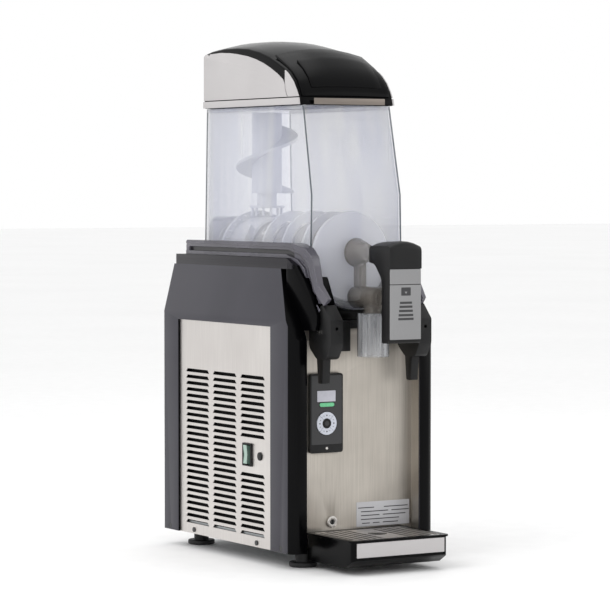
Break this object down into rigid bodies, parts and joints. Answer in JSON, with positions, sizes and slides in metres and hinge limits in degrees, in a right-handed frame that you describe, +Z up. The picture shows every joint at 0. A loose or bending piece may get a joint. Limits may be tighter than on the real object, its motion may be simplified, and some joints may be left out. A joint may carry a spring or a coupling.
{
  "type": "slushie machine",
  "caption": "Countertop frozen drink machine: clear bowl with auger over a louvred case, lever tap, cam locks, keypad and drip tray.",
  "frame": {"origin": "on the floor under the feet, in the middle of the footprint", "axes": "+Z up, -Y the tap and drip tray side, +Y the rear, +X to the right seen from the front"},
  "size_m": [0.26, 0.516, 0.8097],
  "materials": {
    "galvanised": "zinc coated sheet",
    "black_abs": "satin moulded ABS",
    "stainless": "brushed sheet",
    "gloss_black": "polished injection moulding",
    "rubber_black": "moulded rubber",
    "screw_steel": "plated",
    "clear_bowl": "clear polycarbonate",
    "drum_steel": "polished stainless",
    "seal": "white silicone",
    "compressor_paint": "baked enamel",
    "shaft_steel": "ground steel",
    "white_plastic": "food grade acetal",
    "silver_plastic": "silver paint on plastic",
    "grey_plastic": "grey moulded face",
    "display": "display window",
    "green_light": "light pipe",
    "button": "soft key",
    "button_dark": "soft key",
    "brass_nickel": "nickel plate",
    "label_white": "blank printed plate",
    "rocker_green": "lit rocker",
    "aluminium_fins": "bare fins",
    "copper": "drawn copper tube",
    "board": "circuit board"
  },
  "bodies": {
    "machine": {"base_pan": "galvanised", "left_side_moulding": "black_abs", "right_side_moulding": "black_abs", "left_side_panel": "stainless", "right_side_panel": "stainless", "front_panel": "stainless", "rear_panel": "stainless", "top_deck": "gloss_black", "bowl_collar": "gloss_black", "feet": "rubber_black", "cable_gland": "rubber_black", "case_screws": "screw_steel", "bowl": "clear_bowl", "evaporator_drum": "drum_steel", "drum_seal": "seal", "gearmotor": "compressor_paint", "tap_body": "clear_bowl", "tap_spout": "clear_bowl", "lever_pin": "shaft_steel", "drip_chute": "black_abs", "cam_pins": "shaft_steel", "control_housing": "black_abs", "display_lens": "display", "status_light": "green_light", "lock_barrel": "brass_nickel", "rating_plate": "label_white", "switch_bezel": "black_abs", "side_fitting": "black_abs", "compressor": "compressor_paint", "condenser": "aluminium_fins", "fan_shroud": "galvanised", "fan_motor": "compressor_paint", "refrigerant_pipes": "copper", "filter_dryer": "copper", "control_board": "board"},
    "auger_body": {"auger": "white_plastic", "drive_shaft": "shaft_steel"},
    "agitator_body": {"agitator": "white_plastic"},
    "fan_body": {"fan_blade": "black_abs"},
    "lever_body": {"tap_lever": "black_abs", "lever_face": "grey_plastic", "lever_spring": "shaft_steel"},
    "piston_body": {"tap_piston": "white_plastic", "piston_rings": "rubber_black"},
    "cam_left_body": {"cam_left": "black_abs"},
    "cam_right_body": {"cam_right": "black_abs"},
    "lid_body": {"lid_cover": "gloss_black", "lid_left_panel": "silver_plastic", "lid_right_panel": "silver_plastic", "lid_trim": "stainless"},
    "tray_body": {"drip_tray": "gloss_black", "tray_strip": "silver_plastic"},
    "grid_body": {"tray_grid": "stainless"},
    "rocker_body": {"switch_rocker": "rocker_green"},
    "lock_body": {"lock_plug": "brass_nickel"},
    "key_up": {"button_up": "button"},
    "key_down": {"button_down": "button"},
    "key_left": {"button_left": "button"},
    "key_right": {"button_right": "button"},
    "key_centre": {"button_centre": "button_dark"}
  },
  "joints": [
    {"name": "auger_spin", "type": "hinge", "parent": "machine", "child": "auger_body", "pos_m": [0, 0, 0.472], "axis": [0, 1, 0], "continuous": true},
    {"name": "agitator_spin", "type": "hinge", "parent": "machine", "child": "agitator_body", "pos_m": [0, 0.15, 0.6], "axis": [0, 0, 1], "continuous": true},
    {"name": "fan_spin", "type": "hinge", "parent": "machine", "child": "fan_body", "pos_m": [0, 0.06, 0.175], "axis": [1, 0, 0], "continuous": true},
    {"name": "tap_lever_pull", "type": "hinge", "parent": "machine", "child": "lever_body", "pos_m": [0, -0.215, 0.478], "axis": [-1, 0, 0], "range_deg": [0, 12], "stiffness_Nm_per_rad": 1.2, "springref_deg": -28.65},
    {"name": "tap_piston_slide", "type": "slide", "parent": "machine", "child": "piston_body", "axis": [0, -1, 0], "range_m": [0, 0.015]},
    {"name": "cam_left_turn", "type": "hinge", "parent": "machine", "child": "cam_left_body", "pos_m": [-0.0795, -0.16, 0.36], "axis": [-1, 0, 0], "range_deg": [0, 90]},
    {"name": "cam_right_turn", "type": "hinge", "parent": "machine", "child": "cam_right_body", "pos_m": [0.0795, -0.16, 0.36], "axis": [-1, 0, 0], "range_deg": [0, 90]},
    {"name": "lid_lift", "type": "slide", "parent": "machine", "child": "lid_body", "axis": [0, 0, 1], "range_m": [0, 0.15]},
    {"name": "drip_tray_pull", "type": "slide", "parent": "machine", "child": "tray_body", "axis": [0, -1, 0], "range_m": [0, 0.1]},
    {"name": "tray_grid_lift", "type": "slide", "parent": "tray_body", "child": "grid_body", "axis": [0, 0, 1], "range_m": [0, 0.05]},
    {"name": "switch_rock", "type": "hinge", "parent": "machine", "child": "rocker_body", "pos_m": [-0.1245, -0.007, 0.165], "axis": [0, 1, 0], "range_deg": [0, 14]},
    {"name": "key_up_press", "type": "slide", "parent": "machine", "child": "key_up", "axis": [0, 1, 0], "range_m": [0, 0.001], "stiffness_N_per_m": 400},
    {"name": "key_down_press", "type": "slide", "parent": "machine", "child": "key_down", "axis": [0, 1, 0], "range_m": [0, 0.001], "stiffness_N_per_m": 400},
    {"name": "key_left_press", "type": "slide", "parent": "machine", "child": "key_left", "axis": [0, 1, 0], "range_m": [0, 0.001], "stiffness_N_per_m": 400},
    {"name": "key_right_press", "type": "slide", "parent": "machine", "child": "key_right", "axis": [0, 1, 0], "range_m": [0, 0.001], "stiffness_N_per_m": 400},
    {"name": "key_centre_press", "type": "slide", "parent": "machine", "child": "key_centre", "axis": [0, 1, 0], "range_m": [0, 0.001], "stiffness_N_per_m": 400},
    {"name": "lock_turn", "type": "hinge", "parent": "machine", "child": "lock_body", "pos_m": [-0.04, 0, 0.066], "axis": [0, 1, 0], "range_deg": [0, 90]}
  ],
  "couplings": [
    {"joint": "agitator_spin", "follows": "auger_spin", "ratio": -2.6667},
    {"joint": "tap_piston_slide", "follows": "tap_lever_pull", "m_per_rad": 0.068}
  ]
}
